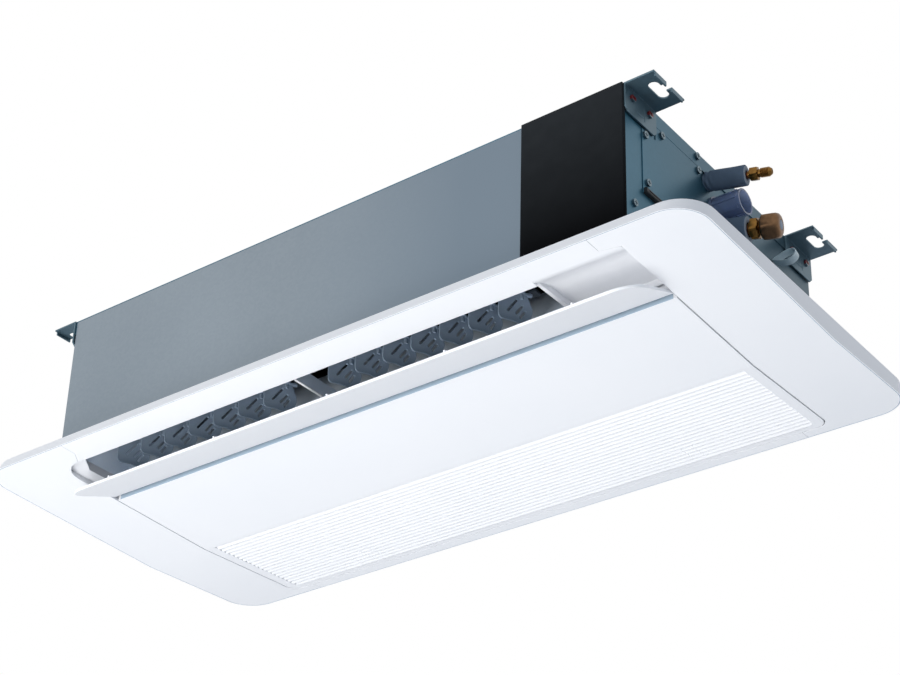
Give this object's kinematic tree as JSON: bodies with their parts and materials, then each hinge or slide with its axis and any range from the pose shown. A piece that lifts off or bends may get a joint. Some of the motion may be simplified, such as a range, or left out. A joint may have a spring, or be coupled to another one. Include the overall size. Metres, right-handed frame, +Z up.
{
  "type": "ceiling cassette air conditioner",
  "caption": "One-way ceiling cassette air conditioner: sheet-metal casing with hangers and pipe unions above a white panel with hinged grille and outlet flap.",
  "frame": {"origin": "middle of the panel's length, on the plane of the ceiling's lower face", "axes": "+X along the unit towards the pipe end, +Y away from the outlet side, +Z up"},
  "size_m": [1, 0.478, 0.2391],
  "materials": {
    "galvanised": "satin galvanised sheet",
    "end_steel": "satin galvanised sheet",
    "screw_steel": "zinc plated",
    "foam": "matt closed-cell foam",
    "pipe_foam": "matt foam sleeve",
    "white_plastic": "semi-gloss moulded plastic",
    "grey_plastic": "moulded plastic",
    "dark_plastic": "moulded plastic",
    "clear_plastic": "translucent moulded plastic",
    "board_green": "circuit board",
    "black_rubber": "matt rubber",
    "brass": "machined brass",
    "copper": "drawn copper",
    "aluminium": "thin fins",
    "white_foam": "moulded foam"
  },
  "bodies": {
    "casing": {"top_cover": "galvanised", "front_plate": "galvanised", "rear_plate": "galvanised", "left_end_plate": "end_steel", "right_end_plate": "end_steel", "front_foam": "foam", "partition": "galvanised", "hanger_brackets": "galvanised", "casing_screws": "screw_steel", "control_box": "galvanised", "control_cover": "end_steel", "control_board": "board_green", "cable_grommet": "black_rubber", "cable_loop": "clear_plastic", "exchanger_fins": "aluminium", "exchanger_tubes": "copper", "tube_plates": "galvanised", "refrigerant_pipes": "copper", "liquid_insulation": "pipe_foam", "liquid_union": "brass", "gas_insulation": "pipe_foam", "gas_union": "brass", "gas_nut": "brass", "gas_plug": "grey_plastic", "drain_pan": "white_foam", "drain_pump": "grey_plastic", "drain_hose": "black_rubber", "drain_socket": "clear_plastic", "fan_bearing": "black_rubber", "fan_motor": "grey_plastic", "fan_scroll": "white_foam", "outlet_duct": "galvanised", "vane_rail": "dark_plastic", "louvre_motors": "grey_plastic", "panel_frame": "white_plastic", "left_cover": "white_plastic", "right_cover": "white_plastic"},
    "fan": {"fan_rotor": "dark_plastic"},
    "flap": {"flap": "white_plastic"},
    "grille": {"intake_grille": "white_plastic", "air_filters": "dark_plastic"},
    "latch_left": {"latch_left": "white_plastic"},
    "latch_right": {"latch_right": "white_plastic"},
    "drain_float": {"drain_float": "grey_plastic"},
    "link_left": {"link_left": "dark_plastic"},
    "link_right": {"link_right": "dark_plastic"},
    "vane_left_1": {"vane_left_1": "dark_plastic"},
    "vane_left_2": {"vane_left_2": "dark_plastic"},
    "vane_left_3": {"vane_left_3": "dark_plastic"},
    "vane_left_4": {"vane_left_4": "dark_plastic"},
    "vane_left_5": {"vane_left_5": "dark_plastic"},
    "vane_left_6": {"vane_left_6": "dark_plastic"},
    "vane_left_7": {"vane_left_7": "dark_plastic"},
    "vane_right_1": {"vane_right_1": "dark_plastic"},
    "vane_right_2": {"vane_right_2": "dark_plastic"},
    "vane_right_3": {"vane_right_3": "dark_plastic"},
    "vane_right_4": {"vane_right_4": "dark_plastic"},
    "vane_right_5": {"vane_right_5": "dark_plastic"},
    "vane_right_6": {"vane_right_6": "dark_plastic"},
    "vane_right_7": {"vane_right_7": "dark_plastic"}
  },
  "joints": [
    {"name": "fan_spin", "type": "hinge", "parent": "casing", "child": "fan", "pos_m": [0, -0.112, 0.122], "axis": [1, 0, 0], "continuous": true},
    {"name": "flap_swing", "type": "hinge", "parent": "casing", "child": "flap", "pos_m": [0, -0.12, -0.0125], "axis": [1, 0, 0], "range_deg": [-24, 45]},
    {"name": "grille_swing", "type": "hinge", "parent": "casing", "child": "grille", "pos_m": [0, -0.101, -0.01191], "axis": [-1, 0, 0], "range_deg": [0, 85]},
    {"name": "float_rise", "type": "slide", "parent": "casing", "child": "drain_float", "axis": [0, 0, 1], "range_m": [0, 0.012]},
    {"name": "latch_left_slide", "type": "slide", "parent": "grille", "child": "latch_left", "axis": [0, 1, 0], "range_m": [-0.005, 0], "stiffness_N_per_m": 150, "springref_m": 0.002},
    {"name": "latch_right_slide", "type": "slide", "parent": "grille", "child": "latch_right", "axis": [0, 1, 0], "range_m": [-0.005, 0], "stiffness_N_per_m": 150, "springref_m": 0.002},
    {"name": "vane_left_1_turn", "type": "hinge", "parent": "casing", "child": "vane_left_1", "pos_m": [-0.328, -0.149, 0.03], "axis": [0, 0, 1], "range_deg": [-3, 67]},
    {"name": "vane_left_2_turn", "type": "hinge", "parent": "casing", "child": "vane_left_2", "pos_m": [-0.289, -0.149, 0.03], "axis": [0, 0, 1], "range_deg": [-3, 67]},
    {"name": "vane_left_3_turn", "type": "hinge", "parent": "casing", "child": "vane_left_3", "pos_m": [-0.25, -0.149, 0.03], "axis": [0, 0, 1], "range_deg": [-3, 67]},
    {"name": "vane_left_4_turn", "type": "hinge", "parent": "casing", "child": "vane_left_4", "pos_m": [-0.211, -0.149, 0.03], "axis": [0, 0, 1], "range_deg": [-3, 67]},
    {"name": "vane_left_5_turn", "type": "hinge", "parent": "casing", "child": "vane_left_5", "pos_m": [-0.172, -0.149, 0.03], "axis": [0, 0, 1], "range_deg": [-3, 67]},
    {"name": "vane_left_6_turn", "type": "hinge", "parent": "casing", "child": "vane_left_6", "pos_m": [-0.133, -0.149, 0.03], "axis": [0, 0, 1], "range_deg": [-3, 67]},
    {"name": "vane_left_7_turn", "type": "hinge", "parent": "casing", "child": "vane_left_7", "pos_m": [-0.094, -0.149, 0.03], "axis": [0, 0, 1], "range_deg": [-3, 67]},
    {"name": "link_left_slide", "type": "slide", "parent": "casing", "child": "link_left", "axis": [1, 0, 0], "range_m": [-0.01097, 0.00049]},
    {"name": "vane_right_1_turn", "type": "hinge", "parent": "casing", "child": "vane_right_1", "pos_m": [0.002, -0.149, 0.03], "axis": [0, 0, 1], "range_deg": [-3, 67]},
    {"name": "vane_right_2_turn", "type": "hinge", "parent": "casing", "child": "vane_right_2", "pos_m": [0.041, -0.149, 0.03], "axis": [0, 0, 1], "range_deg": [-3, 67]},
    {"name": "vane_right_3_turn", "type": "hinge", "parent": "casing", "child": "vane_right_3", "pos_m": [0.08, -0.149, 0.03], "axis": [0, 0, 1], "range_deg": [-3, 67]},
    {"name": "vane_right_4_turn", "type": "hinge", "parent": "casing", "child": "vane_right_4", "pos_m": [0.119, -0.149, 0.03], "axis": [0, 0, 1], "range_deg": [-3, 67]},
    {"name": "vane_right_5_turn", "type": "hinge", "parent": "casing", "child": "vane_right_5", "pos_m": [0.158, -0.149, 0.03], "axis": [0, 0, 1], "range_deg": [-3, 67]},
    {"name": "vane_right_6_turn", "type": "hinge", "parent": "casing", "child": "vane_right_6", "pos_m": [0.197, -0.149, 0.03], "axis": [0, 0, 1], "range_deg": [-3, 67]},
    {"name": "vane_right_7_turn", "type": "hinge", "parent": "casing", "child": "vane_right_7", "pos_m": [0.236, -0.149, 0.03], "axis": [0, 0, 1], "range_deg": [-3, 67]},
    {"name": "link_right_slide", "type": "slide", "parent": "casing", "child": "link_right", "axis": [1, 0, 0], "range_m": [-0.01097, 0.00049]}
  ],
  "couplings": [
    {"joint": "vane_left_1_turn", "follows": "link_left_slide", "rad_per_m": -106.5},
    {"joint": "vane_left_2_turn", "follows": "link_left_slide", "rad_per_m": -106.5},
    {"joint": "vane_left_3_turn", "follows": "link_left_slide", "rad_per_m": -106.5},
    {"joint": "vane_left_4_turn", "follows": "link_left_slide", "rad_per_m": -106.5},
    {"joint": "vane_left_5_turn", "follows": "link_left_slide", "rad_per_m": -106.5},
    {"joint": "vane_left_6_turn", "follows": "link_left_slide", "rad_per_m": -106.5},
    {"joint": "vane_left_7_turn", "follows": "link_left_slide", "rad_per_m": -106.5},
    {"joint": "vane_right_1_turn", "follows": "link_right_slide", "rad_per_m": -106.5},
    {"joint": "vane_right_2_turn", "follows": "link_right_slide", "rad_per_m": -106.5},
    {"joint": "vane_right_3_turn", "follows": "link_right_slide", "rad_per_m": -106.5},
    {"joint": "vane_right_4_turn", "follows": "link_right_slide", "rad_per_m": -106.5},
    {"joint": "vane_right_5_turn", "follows": "link_right_slide", "rad_per_m": -106.5},
    {"joint": "vane_right_6_turn", "follows": "link_right_slide", "rad_per_m": -106.5},
    {"joint": "vane_right_7_turn", "follows": "link_right_slide", "rad_per_m": -106.5}
  ]
}
